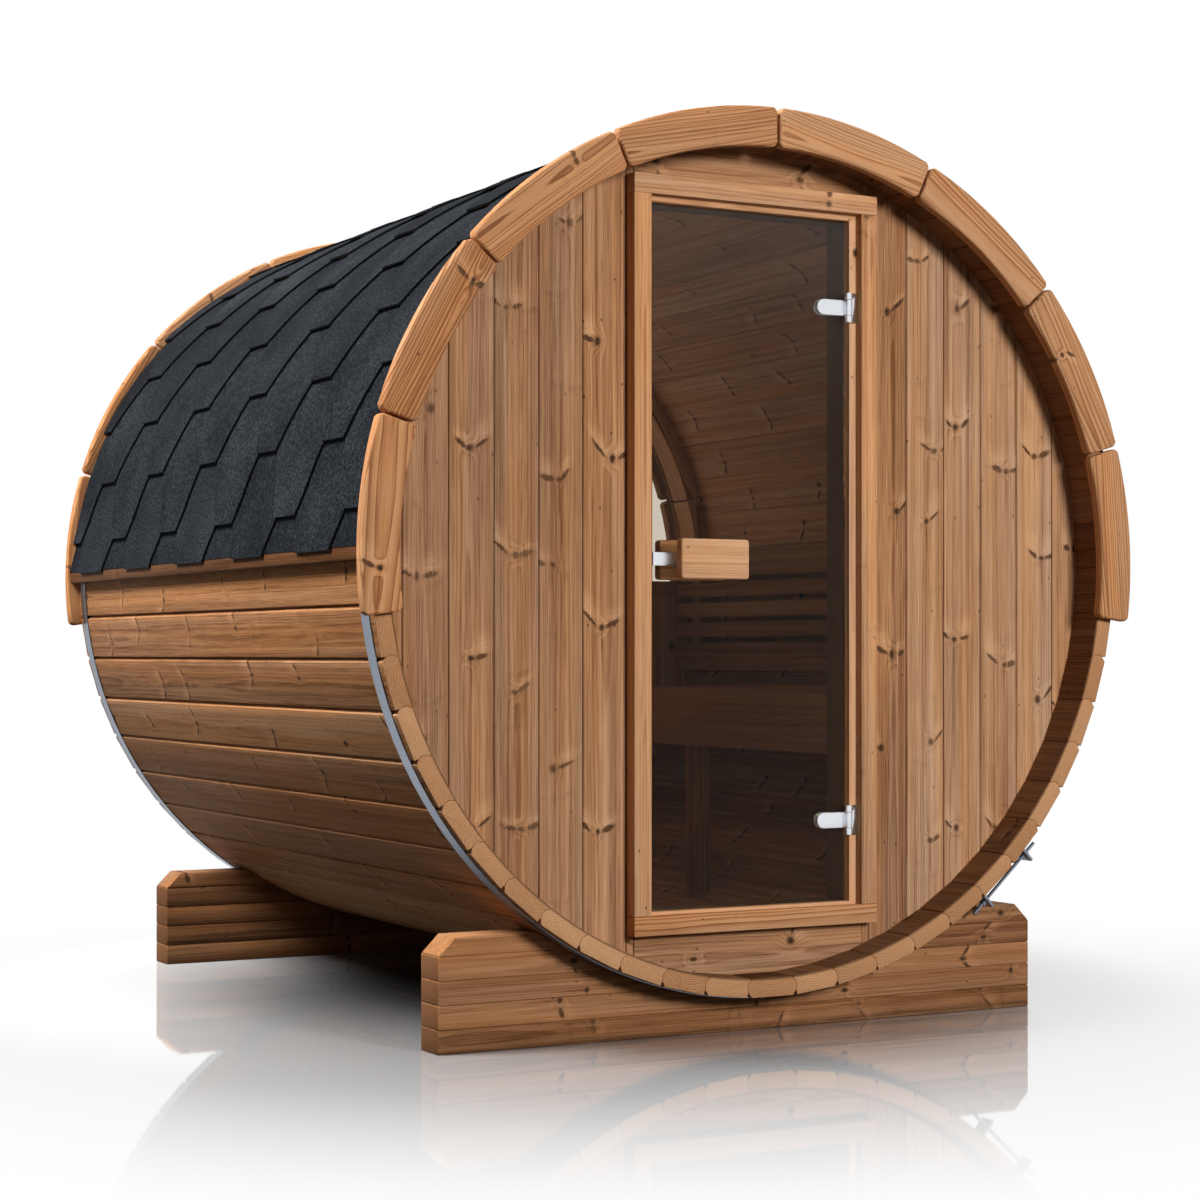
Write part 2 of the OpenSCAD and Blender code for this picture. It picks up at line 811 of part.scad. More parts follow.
// Post under the middle bearer, cut to the staves that it stands on
module bench_post() {
    color(wood) along_barrel(-timber, 0) intersection() {
        disc(room_r);
        translate([post_x, -barrel_r]) square([timber, bearer_z - seat - axis_z + barrel_r]);
    }
}

// Bearers across the bench, on both end walls and on the post
module bench_bearers() {
    color(wood) for (y = [room_front, -timber, room_back - timber])
        along_barrel(y, y + timber) intersection() {
            disc(room_r);
            translate([post_x, bearer_z - axis_z]) square([barrel_r, timber]);
        }
}

// Backrest slats: a wide one below and above, narrow ones between
module backrest_slats() {
    color(wood) for (i = [0 : narrow_slats + 1]) {
        narrow = i > 0 && i <= narrow_slats;
        z = i == 0 ? 0 : wide_slat_h + slat_gap + (i - 1) * (narrow_slat_h + slat_gap);
        translate([back_x, room_front, back_z + z])
            cube([slat_t, room_back - room_front, narrow ? narrow_slat_h : wide_slat_h]);
    }
}

// Uprights behind the slats, cut to the staves behind them
module backrest_uprights() {
    inset = upright_inset;
    color(wood) for (y = [room_front + inset, -timber / 2, room_back - inset - timber])
        along_barrel(y, y + timber) intersection() {
            disc(room_r);
            translate([back_x + slat_t + seat, back_z - axis_z]) square([barrel_r, back_h]);
        }
}

staves_top();
staves_upper_right();
staves_lower_right();
staves_bottom();
staves_lower_left();
staves_upper_left();
cradle_front();
cradle_rear();
hoop_front();
hoop_rear();
hoop_tensioners();
shingles_left();
shingles_right();
eave_battens();
front_trims();
rear_trims();
front_wall_left();
front_wall_right();
front_wall_over_door();
front_wall_under_door();
rear_wall();
window_rail();
window_glass();
window_beads_inside();
window_beads_outside();
door_jambs();
door_head();
door_threshold();
casing_sides();
casing_head();
casing_sill();
hinge_plates();
hinge_leaves();
door_glass();
handle_outside();
handle_inside();
handle_strap();
bench_seat();
bench_fascia();
bench_post();
bench_bearers();
backrest_slats();
backrest_uprights();
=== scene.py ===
"""Barrel sauna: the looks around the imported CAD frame. Metres, in the part's own frame."""

import math
import random
import zlib

import bmesh
import bpy
import numpy as np
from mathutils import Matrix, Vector


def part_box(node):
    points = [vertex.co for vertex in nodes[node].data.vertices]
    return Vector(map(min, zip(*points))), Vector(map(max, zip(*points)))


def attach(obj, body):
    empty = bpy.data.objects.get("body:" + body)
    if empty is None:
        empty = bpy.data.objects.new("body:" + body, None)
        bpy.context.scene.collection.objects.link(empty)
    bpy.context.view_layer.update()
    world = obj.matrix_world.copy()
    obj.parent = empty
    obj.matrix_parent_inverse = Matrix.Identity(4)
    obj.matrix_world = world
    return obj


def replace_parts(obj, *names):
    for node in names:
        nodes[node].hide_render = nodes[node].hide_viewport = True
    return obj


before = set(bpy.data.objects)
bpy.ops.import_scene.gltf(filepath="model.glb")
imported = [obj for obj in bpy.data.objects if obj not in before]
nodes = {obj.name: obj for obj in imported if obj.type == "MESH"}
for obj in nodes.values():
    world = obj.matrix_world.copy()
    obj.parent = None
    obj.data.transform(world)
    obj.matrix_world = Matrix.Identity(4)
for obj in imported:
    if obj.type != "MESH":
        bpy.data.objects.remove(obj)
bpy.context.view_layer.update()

# Sizes that part.scad gives, in metres and degrees
AXIS_Z = 1.048
HALF_L = 1.0
ROOM_R = 0.923
WALL_FACE = 0.909
ROOF_R = 0.9685
COURSE_DEG = 9.265
LOWEST_BUTT_DEG = 84.6
EAVE_DEG = 89.0
EAVE_KICK = 0.0188
SHINGLE_T = 0.0075
SHINGLE_STEP = 0.0055


# Node trees

def srgb(red, green, blue):
    """Linear colour of an 8-bit one."""
    parts = (c / 255 for c in (red, green, blue))
    return (*(c / 12.92 if c <= 0.04045 else ((c + 0.055) / 1.055) ** 2.4 for c in parts), 1.0)


class Value:
    """A number in a node tree. Arithmetic on it adds Math nodes."""

    def __init__(self, graph, socket):
        self.graph, self.socket = graph, socket

    def __add__(self, other): return self.graph.math("ADD", self, other)
    def __sub__(self, other): return self.graph.math("SUBTRACT", self, other)
    def __mul__(self, other): return self.graph.math("MULTIPLY", self, other)
    def __truediv__(self, other): return self.graph.math("DIVIDE", self, other)
    def __pow__(self, other): return self.graph.math("POWER", self, other)
    def __rsub__(self, other): return self.graph.math("SUBTRACT", other, self)
    def __abs__(self): return self.graph.math("ABSOLUTE", self)
    __radd__, __rmul__ = __add__, __mul__

    def floor(self):
        return self.graph.math("FLOOR", self)

    def fract(self):
        return self.graph.math("FRACT", self)

    def step(self, low, high, start=0.0, end=1.0):
        """Smooth step from start at low to end at high."""
        made = self.graph.node("MapRange", interpolation_type="SMOOTHSTEP")
        for name, value in zip(("Value", "From Min", "From Max", "To Min", "To Max"),
                               (self, low, high, start, end)):
            self.graph.put(value, made.inputs[name])
        return Value(self.graph, made.outputs["Result"])

    def below(self, limit):
        """1 where the number is under the limit, else 0."""
        return self.graph.math("LESS_THAN", self, limit)

    def bell(self, width):
        """1 at zero, falling to nothing over about twice the width."""
        return self.graph.math("EXPONENT", (self / width) ** 2.0 * -1.0)


class Graph:
    """A material, or another node tree, and short forms for its nodes."""

    def __init__(self, name="", tree=None):
        if tree is None:
            self.material = bpy.data.materials.new(name)
            self.material.use_nodes = True
            tree = self.material.node_tree
            self.shader = tree.nodes["Principled BSDF"]
        self.tree = tree

    def put(self, value, socket):
        if isinstance(value, Value):
            self.tree.links.new(value.socket, socket)
        elif isinstance(value, bpy.types.NodeSocket):
            self.tree.links.new(value, socket)
        else:
            socket.default_value = value

    def node(self, kind, **settings):
        made = self.tree.nodes.new("ShaderNode" + kind)
        for key, value in settings.items():
            setattr(made, key, value)
        return made

    def math(self, operation, *values):
        made = self.node("Math", operation=operation)
        for value, socket in zip(values, made.inputs):
            self.put(value, socket)
        return Value(self, made.outputs[0])

    def vector(self, *parts):
        made = self.node("CombineXYZ")
        for value, socket in zip(parts, made.inputs):
            self.put(value, socket)
        return made.outputs[0]

    def parts(self, socket):
        made = self.node("SeparateXYZ")
        self.put(socket, made.inputs[0])
        return [Value(self, out) for out in made.outputs]

    def attribute(self, name):
        return self.parts(self.node("Attribute", attribute_name=name).outputs["Vector"])

    def place(self):
        return self.parts(self.node("TexCoord").outputs["Object"])

    def hash(self, *parts):
        """Three even random numbers that belong to the given ones."""
        made = self.node("TexWhiteNoise", noise_dimensions="3D")
        self.put(self.vector(*parts), made.inputs["Vector"])
        return self.parts(made.outputs["Color"])

    def noise(self, *parts, detail=2.0, rough=0.5):
        """Smooth noise about zero, most of it within a half."""
        made = self.node("TexNoise", noise_dimensions="3D")
        self.put(self.vector(*parts), made.inputs["Vector"])
        for name, value in (("Scale", 1.0), ("Detail", detail), ("Roughness", rough)):
            self.put(value, made.inputs[name])
        return Value(self, made.outputs["Fac"]) - 0.5

    def mix(self, share, first, second):
        made = self.node("Mix", data_type="RGBA")
        for value, index in ((share, 0), (first, 6), (second, 7)):
            self.put(value, made.inputs[index])
        return made.outputs[2]

    def blend(self, share, first, second):
        """Mix of two shaders."""
        made = self.node("MixShader")
        for value, socket in zip((share, first.outputs[0], second.outputs[0]), made.inputs):
            self.put(value, socket)
        return made

    def ramp(self, value, *stops):
        made = self.node("ValToRGB")
        elements = made.color_ramp.elements
        while len(elements) < len(stops):
            elements.new(0.5)
        for element, (place, colour) in zip(elements, stops):
            element.position, element.color = place, colour
        self.put(value, made.inputs[0])
        return made.outputs[0]

    def bump(self, height, strength, distance):
        made = self.node("Bump")
        for name, value in (("Height", height), ("Strength", strength), ("Distance", distance)):
            self.put(value, made.inputs[name])
        self.put(made.outputs[0], self.shader.inputs["Normal"])

    def set(self, **sockets):
        for name, value in sockets.items():
            self.put(value, self.shader.inputs[name.replace("_", " ")])
        return self.material


# Materials

# Knots: metres between whorls along a board, their stray across it, the share of oval ones and of
# whorls that weep, the cells that pin knots lie in, and the share of those that have one
WHORL = 0.37
KNOT_STRAY = 0.055
EAR_SHARE = 0.7
WEEP_SHARE = 0.6
PIN_U, PIN_V = 0.032, 0.13
PIN_SHARE = 0.16

# Colours of all the woods: casts of warmer and cooler streaks, knots, painted shade of rebates and
# recesses, and end grain
WARM, COOL = (1.06, 0.97, 0.84), (0.96, 1.01, 1.10)
KNOT = srgb(50, 36, 29)
KNOT_BROWN = srgb(112, 77, 53)
REBATE_SHADE, RECESS_SHADE = srgb(46, 36, 30), srgb(50, 29, 18)
REBATE_DEPTH = 0.004
END_GRAIN = (srgb(222, 174, 130), srgb(197, 144, 101), srgb(144, 95, 61))
RAMP_STOPS = (0.0, 0.5, 1.0)


def toned(colour, cast):
    """A colour with each part times that of the cast."""
    return (*(min(1.0, c * k) for c, k in zip(colour, cast)), 1.0)


def wood(name, pale, mid, dark, knots=1.0, pitch=0.0034, contrast=0.38, waves=0.010, streaks=1.4,
         end_axis=None, ends=END_GRAIN, dim_from=None, recess=None):
    """Softwood: growth rings round a pith of the board's own, fibres, and knots in whorls.

    end_axis is the object's axis along which the boards run, where their end grain shows in the
    colours of ends. Behind y = dim_from the wood is darker: painted shade of a rebate with no light.
    recess is the barrel's inner radius and the walls' y; outside them the inner faces get painted
    shade.
    """
    g = Graph(name)
    u, v, w = g.attribute("grain")
    pith_u, pith_w, seed = g.attribute("board")

    # A whorl: a round knot, and on each side a slanting oval one with pale wood over it
    whorl = (v / WHORL).floor()
    at_u, at_v, wide = g.hash(whorl, seed, 1.3)
    tall, chance, _ = g.hash(whorl, seed, 7.7)
    there = chance.below(knots)
    ragged = g.noise(u * 120.0, v * 120.0, seed, detail=3.0) * 0.006
    x = u - (at_u - 0.5) * KNOT_STRAY + ragged
    y = v - (whorl + 0.2 + 0.6 * at_v) * WHORL + ragged
    side = 1.0 - x.below(0.0)
    gap, slant, length = g.hash(whorl, seed, side + 11.0)
    ear_chance, glow, thick = g.hash(whorl, seed, side + 17.0)
    core = ((x / (0.0045 + 0.004 * wide)) ** 2.0 + (y / (0.0055 + 0.006 * tall * tall)) ** 2.0) ** 0.5
    round_knot = core.step(0.6, 1.15, 1.0, 0.0) * there
    out = abs(x) - (0.004 + 0.012 * gap)
    rise = y - out * (0.2 + 0.9 * slant * slant)
    reach = 0.009 + 0.013 * length
    ear_d = (((out - reach) / reach) ** 2.0 + (rise / (0.0048 + 0.0045 * thick)) ** 2.0) ** 0.5
    ear_there = there * ear_chance.below(EAR_SHARE)
    ear = ear_d.step(0.55, 1.15, 1.0, 0.0) * ear_there
    flare = (rise.step(-0.002, 0.016) * (rise / (0.025 + 0.055 * glow)).step(0.1, 1.0, 1.0, 0.0)
             * ((out - reach) / reach).bell(1.3) * ear_there)
    feather = flare * (0.8 + 1.7 * g.noise(rise * 170.0, out * 60.0, seed, detail=2.0))
    weep = (x.bell(0.0018) * y.step(-0.12, -0.02) * y.step(-0.008, 0.0, 1.0, 0.0)
            * there * tall.below(WEEP_SHARE))

    # Pin knots
    cell_u, cell_v = (u / PIN_U).floor(), (v / PIN_V).floor()
    at_u, at_v, chance = g.hash(cell_u, cell_v, seed)
    pin_u = (u / PIN_U - cell_u - 0.2 - 0.6 * at_u) * PIN_U
    pin_v = (v / PIN_V - cell_v - 0.2 - 0.6 * at_v) * PIN_V
    pin_d = (pin_u ** 2.0 + (pin_v * 0.6) ** 2.0) ** 0.5
    pin = pin_d.step(0.0010, 0.0028, 1.0, 0.0) * chance.below(PIN_SHARE)

    # Growth rings: darker late wood towards the end of each
    flow = (g.noise(u * 5.0, v * 1.2, w * 5.0 + seed) * waves
            + g.noise(u * 30.0, v * 4.0, w * 30.0) * 0.0018)
    swirl = core.bell(2.2) * 0.008 * there
    r = ((u - pith_u) ** 2.0 + (w - pith_w) ** 2.0) ** 0.5 + flow + swirl
    ring = (r / pitch + g.noise(r * 60.0, seed, 0.0) * 2.4).fract()
    late = ring ** 2.0 * ring.step(0.88, 1.0, 1.0, 0.0)

    # Fibres, streaks along the board, broad clouds, and a tone of the board's own
    fibre = g.noise(u * 850.0, v * 12.0, w * 850.0, detail=0.0)
    streak = g.noise(u * 66.0, v * 0.9, w * 66.0 + seed, detail=3.0, rough=0.7)
    cloud = g.noise(u * 9.0, v * 1.8, w * 9.0 + seed)
    tone, _, _ = g.hash(seed, 5.5, 2.2)

    shade = (0.46 + contrast * (late - 0.3) + streaks * streak + 0.6 * fibre + 0.35 * cloud
             + 0.5 * (tone - 0.5) - 0.5 * feather + 0.45 * weep)
    warmth = g.noise(u * 16.0, v * 0.7, w * 16.0 + seed + 31.0).step(-0.2, 0.2)
    stops = list(zip(RAMP_STOPS, (pale, mid, dark)))
    cool, warm = (g.ramp(shade, *((place, toned(tint, cast)) for place, tint in stops))
                  for cast in (COOL, WARM))
    colour = g.mix(warmth, cool, warm)
    knot = g.math("MAXIMUM", round_knot, ear)
    if end_axis is not None:
        end = abs(g.parts(g.node("TexCoord").outputs["Normal"])[end_axis]).step(0.75, 0.95)
        dots = g.noise(u * 420.0, w * 420.0, seed, detail=1.0)
        end_shade = 0.5 + 1.1 * (late - 0.3) + 0.7 * dots + 0.45 * (tone - 0.5)
        end_colour = g.ramp(end_shade, *zip(RAMP_STOPS, ends))
        colour = g.mix(end, colour, end_colour)
        knot, pin = knot * (1.0 - end), pin * (1.0 - end)
    rim = core.step(1.0, 1.7, 0.5, 0.0) * there
    colour = g.mix(rim, colour, KNOT_BROWN)
    core_tone = g.noise(x * 260.0, y * 260.0, seed).step(-0.25, 0.3)
    colour = g.mix(knot * 0.95, colour, g.mix(core_tone * (0.4 + 0.6 * ear), KNOT, KNOT_BROWN))
    colour = g.mix(pin * 0.8, colour, KNOT)
    # Painted shade: behind y = dim_from the wood darkens, as in a rebate that gets no light
    if dim_from is not None:
        depth = g.place()[1] - dim_from
        colour = g.mix(depth.step(0.0, REBATE_DEPTH, 0.0, 0.85), colour, REBATE_SHADE)
    # Painted shade: the staves' inner faces beyond the walls darken, as in a recess that gets little
    # light
    if recess is not None:
        inner_r, wall_y = recess
        px, py, pz = g.place()
        radius = (px ** 2.0 + (pz - AXIS_Z) ** 2.0) ** 0.5
        recess_shade = (radius - inner_r).step(0.003, 0.006, 0.62, 0.0)
        colour = g.mix(recess_shade * abs(py).step(wall_y, wall_y + 0.005), colour, RECESS_SHADE)
    g.bump(fibre * 0.6, 0.25, 0.0012)
    return g.set(Base_Color=colour, Roughness=0.65 + 0.18 * fibre + 0.1 * streak,
                 Specular_IOR_Level=0.04)


def shingle_felt():
    """Mineral granules on bitumen, a little different from strip to strip."""
    g = Graph("shingle_felt")
    y, s, _ = g.attribute("grain")
    _, _, seed = g.attribute("board")
    grit = g.noise(y * 150.0, s * 150.0, seed, detail=4.0, rough=0.85)
    patch = g.noise(y * 6.0, s * 6.0, seed)
    tone, _, _ = g.hash(seed, 1.0, 4.0)
    shade = 0.5 + 2.6 * grit + 0.5 * patch + 0.18 * (tone - 0.5)
    colour = g.ramp(shade, (0.0, srgb(10, 11, 13)), (0.5, srgb(25, 27, 30)), (1.0, srgb(62, 66, 71)))
    g.bump(grit, 0.6, 0.0012)
    return g.set(Base_Color=colour, Roughness=0.85 + 0.2 * grit, Specular_IOR_Level=0.03)


def bitumen():
    """Cut edge of a shingle."""
    g = Graph("bitumen_edge")
    x, y, z = g.place()
    grain_noise = g.noise(x * 300.0, y * 300.0, z * 300.0)
    colour = g.mix(grain_noise.step(-0.3, 0.3), srgb(12, 12, 14), srgb(28, 29, 32))
    return g.set(Base_Color=colour, Roughness=0.8 + 0.2 * grain_noise, Specular_IOR_Level=0.2)


def metal(name, base, rough, brushed):
    """Satin metal with fine brushing along its strip."""
    g = Graph(name)
    x, y, z = g.place()
    brush = g.noise(x * brushed[0], y * brushed[1], z * brushed[2], detail=2.0)
    patch = g.noise(x * 5.0, y * 5.0, z * 5.0, detail=3.0)
    dull = tuple(0.78 * c for c in base[:3]) + (1.0,)
    g.bump(brush, 0.12, 0.0004)
    return g.set(Base_Color=g.mix(0.5 + 0.7 * patch + 0.5 * brush, base, dull),
                 Roughness=rough + 0.16 * patch + 0.14 * brush, Metallic=1.0)


def glass(name, low, high, top_veil):
    """Tinted glass with faint smears, lighter and a little less clear upwards as painted light of a
    brighter room.
    """
    g = Graph(name)
    x, y, z = g.place()
    smear = g.noise(x * 2.5, y * 2.5, z * 1.2, detail=4.0)
    # Painted light: the glass gets lighter and a little less clear towards its top
    up = (z + 0.2 * smear).step(1.3, 2.0)
    return g.set(Base_Color=g.mix(up, low, high), Roughness=smear.step(-0.1, 0.4, 0.0, 0.02),
                 Transmission_Weight=1.0 - top_veil * up if top_veil else 1.0, IOR=1.16)


# Pale, middle and dark wood of each kind of board; those of the battens and the bench are darker as
# painted shade
WALL = (srgb(211, 168, 131), srgb(177, 132, 97), srgb(122, 82, 54))
STAVE = (srgb(207, 157, 115), srgb(175, 125, 86), srgb(122, 81, 52))
TRIM = (srgb(214, 161, 116), srgb(189, 133, 90), srgb(140, 90, 57))
CASING = (srgb(230, 181, 138), srgb(208, 156, 114), srgb(158, 108, 72))
CRADLE = (srgb(184, 134, 95), srgb(151, 105, 71), srgb(100, 65, 41))
CRADLE_END = (srgb(140, 97, 66), srgb(117, 79, 52), srgb(86, 55, 34))
# The battens' wood is darkened as painted shade of the shingles' overhang over them
SHADED_BATTEN = (srgb(102, 69, 46), srgb(78, 52, 34), srgb(54, 34, 21))
# The bench's wood is darkened as painted shade of the dim room behind the glass
SHADED_BENCH = (srgb(170, 127, 92), srgb(148, 106, 74), srgb(108, 72, 48))

wall_wood = wood("wall_wood", *WALL)
# The staves get painted shade on their inner faces beyond the walls
stave_wood = wood("stave_wood", *STAVE, knots=0.9, end_axis=1, recess=(ROOM_R, WALL_FACE))
trim_wood = wood("trim_wood", *TRIM, knots=0.45, pitch=0.0064, contrast=1.0, waves=0.03, streaks=0.7)
casing_wood = wood("casing_wood", *CASING, knots=0.35)
# The jambs get painted shade on their faces behind the glass
jamb_wood = wood("jamb_wood", *CASING, knots=0.35, dim_from=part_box("door_glass")[1][1])
cradle_wood = wood("cradle_wood", *CRADLE, knots=0.8, end_axis=0, ends=CRADLE_END)
bench_wood = wood("bench_wood", *SHADED_BENCH, knots=0.1)
batten_wood = wood("batten_wood", *SHADED_BATTEN, knots=0.3)
felt = shingle_felt()
felt_edge = bitumen()
hoop_steel = metal("hoop_steel", srgb(136, 144, 157), 0.36, (40.0, 900.0, 40.0))
satin_metal = metal("satin_metal", srgb(238, 241, 246), 0.3, (60.0, 900.0, 900.0))
bronze = glass("bronze_glass", (0.66, 0.62, 0.55, 1.0), (0.78, 0.77, 0.74, 1.0), top_veil=0.02)
pale_bronze = glass("pale_bronze_glass", (0.90, 0.86, 0.80, 1.0), (0.93, 0.89, 0.83, 1.0), top_veil=0.0)


# Boards: where each one's grain runs

SHARP_DEG = 35
WELD = 1e-5


def vertices(mesh):
    """The mesh's points, one row each."""
    flat = np.empty(len(mesh.vertices) * 3, np.float32)
    mesh.vertices.foreach_get("co", flat)
    return flat.reshape(-1, 3)


def islands(mesh, points):
    """A number for each vertex: the same for those of one solid."""
    keys = np.round(points / WELD).astype(np.int64)
    merged = np.unique(keys, axis=0, return_inverse=True)[1].ravel()
    flat = np.empty(len(mesh.edges) * 2, np.int32)
    mesh.edges.foreach_get("vertices", flat)
    first, second = merged[flat.reshape(-1, 2)].T
    label = np.arange(merged.max() + 1)
    while True:
        low = np.minimum(label[first], label[second])
        new = label.copy()
        np.minimum.at(new, first, low)
        np.minimum.at(new, second, low)
        new = new[new]
        if (new == label).all():
            return label[merged]
        label = new


def axes(points, kind):
    """A board's middle, and its directions across, along and through.

    A box runs along its longest side and a front board lies in the wall's plane. A stave runs along
    the barrel, and a chord is a piece of a ring round its axis.
    """
    low, high = points.min(0), points.max(0)
    middle = (low + high) / 2
    if kind == "box":
        through, across, along = np.eye(3)[np.argsort(high - low)]
        return middle, across, along, through
    if kind == "front":
        span = high - low
        across, along = np.eye(3)[[0, 2] if span[0] < span[2] else [2, 0]]
        return middle, across, along, np.array((0, 1, 0))
    angle = math.atan2(middle[0], middle[2] - AXIS_Z)
    tangent = np.array((math.cos(angle), 0, -math.sin(angle)))
    radial = np.array((math.sin(angle), 0, math.cos(angle)))
    length = np.array((0, 1, 0))
    return (middle, tangent, length, radial) if kind == "stave" else (middle, radial, tangent, length)


def write(mesh, name, values):
    layer = mesh.attributes.new(name, "FLOAT_VECTOR", "POINT")
    layer.data.foreach_set("vector", np.asarray(values, np.float32).ravel())


def grain(piece, kind="box"):
    """Gives each board of a piece its own grain."""
    rng = random.Random(zlib.crc32(piece.name.encode()))
    mesh = piece.data
    points = vertices(mesh).astype(float)
    label = islands(mesh, points)
    along_board, board = np.zeros_like(points), np.zeros_like(points)
    near = 0.6 if kind == "chord" else 1.0
    for number in np.unique(label):
        those = label == number
        middle, *directions = axes(points[those], kind)
        local = (points[those] - middle) @ np.array(directions).T
        local[:, 1] += rng.uniform(0, 20)
        along_board[those] = local
        pith = rng.uniform(-0.025, 0.025), rng.choice((-1, 1)) * rng.uniform(0.03, 0.09)
        board[those] = (pith[0], near * pith[1], rng.uniform(0, 300))
    write(mesh, "grain", along_board)
    write(mesh, "board", board)


def dress(piece, *materials):
    piece.data.materials.clear()
    for material in materials:
        piece.data.materials.append(material)


def add(name, mesh, body):
    """A new piece that rides on a body."""
    piece = bpy.data.objects.new(name, mesh)
    bpy.context.scene.collection.objects.link(piece)
    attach(piece, body)
    return piece


def soften(mesh, degrees=SHARP_DEG):
    """Smooth shading, but for edges sharper than the angle."""
    mesh.polygons.foreach_set("use_smooth", [True] * len(mesh.polygons))
    mesh.set_sharp_from_angle(angle=math.radians(degrees))


def eased(node, width, body="root", steps=2, ends_only=False):
    """The node's own shape with its sharp edges rounded, or only those of the barrel's two ends."""
    bm = bmesh.new()
    bm.from_mesh(nodes[node].data)
    bmesh.ops.remove_doubles(bm, verts=bm.verts, dist=WELD)
    bmesh.ops.dissolve_limit(bm, angle_limit=math.radians(0.1), verts=bm.verts, edges=bm.edges)
    sharp = [e for e in bm.edges if e.calc_face_angle(0) > math.radians(SHARP_DEG)]
    if ends_only:
        sharp = [e for e in sharp if all(abs(v.co.y) > HALF_L - 1e-4 for v in e.verts)]
    bmesh.ops.bevel(bm, geom=sharp, offset=width, segments=steps, profile=0.5, affect="EDGES",
                    clamp_overlap=not ends_only)
    mesh = bpy.data.meshes.new(node + "_eased")
    bm.to_mesh(mesh)
    bm.free()
    soften(mesh)
    piece = add(node + "_eased", mesh, body)
    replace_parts(piece, node)
    return piece


for node in ("staves_top", "staves_upper_right", "staves_lower_right", "staves_bottom",
             "staves_lower_left", "staves_upper_left"):
    piece = eased(node, 0.0012, ends_only=True)
    grain(piece, "stave")
    dress(piece, stave_wood)

for node in ("front_wall_left", "front_wall_right", "front_wall_over_door", "front_wall_under_door",
             "rear_wall", "window_rail"):
    grain(nodes[node], "front")
    dress(nodes[node], wall_wood)

for node in ("window_beads_inside", "window_beads_outside"):
    grain(nodes[node], "chord")
    dress(nodes[node], trim_wood)

for node in ("door_jambs", "door_head", "door_threshold"):
    grain(nodes[node], "front")
    dress(nodes[node], jamb_wood)

for node in ("bench_seat", "bench_fascia", "bench_post", "bench_bearers", "backrest_slats",
             "backrest_uprights"):
    grain(nodes[node])
    dress(nodes[node], bench_wood)

for node in ("front_trims", "rear_trims"):
    piece = eased(node, 0.006, steps=3)
    grain(piece, "chord")
    dress(piece, trim_wood)

for node in ("cradle_front", "cradle_rear"):
    piece = eased(node, 0.0025)
    grain(piece, "front")
    dress(piece, cradle_wood)

piece = eased("eave_battens", 0.004)
grain(piece)
dress(piece, batten_wood)

for node, width, slot, body, material in (("casing_sides", 0.002, "casing_wood", "root", casing_wood),
                                          ("casing_head", 0.002, "casing_wood", "root", casing_wood),
                                          # The sill takes the darker trim wood instead of its casing
                                          # wood, as painted shade on it
                                          ("casing_sill", 0.002, "casing_wood", "root", trim_wood),
                                          ("handle_outside", 0.004, "handle_wood", "door", casing_wood),
                                          ("handle_inside", 0.004, "handle_wood", "door", casing_wood)):
    piece = eased(node, width, body)
    grain(piece, "front")
    dress(piece, material)

for node, width, slot, body in (("hinge_plates", 0.001, "satin_metal", "root"),
                                ("hinge_leaves", 0.0015, "satin_metal", "door"),
                                ("handle_strap", 0.0006, "satin_metal", "door"),
                                ("hoop_tensioners", 0.0008, "steel", "root")):
    piece = eased(node, width, body)
    dress(piece, satin_metal if slot == "satin_metal" else hoop_steel)

for node in ("hoop_front", "hoop_rear"):
    dress(nodes[node], hoop_steel)
dress(nodes["door_glass"], bronze)
dress(nodes["window_glass"], pale_bronze)


# Shingles: courses of hexagonal tabs, each lapping over two below

# Tabs: their pitch, half their butts' width and how it grows over a course, and the felt's thickness
TAB_PITCH = 0.39
TAB_FLAT = 0.0615
TAB_SPREAD = 0.072
FELT_T = 0.0046
COURSES = 9
COURSES_DEEP = 2.1
RISE_ROWS = 16
KICK_DEG = 81.0
STARTER_DEG = 76.0
TAB_OFFSET = 0.02
STRIP_TABS = 3


def roof_point(side, degrees, y, lift):
    """A point at an angle from the ridge, on the right for side 1 and on the left for -1."""
    a = math.radians(degrees)
    r = ROOF_R + lift
    return (side * r * math.sin(a), y, AXIS_Z + r * math.cos(a))


def kick(degrees):
    """How far the lowest course is bent out over the batten."""
    t = max(0.0, (degrees - KICK_DEG) / (EAVE_DEG - KICK_DEG))
    return EAVE_KICK * min(1.0, t) ** 1.5


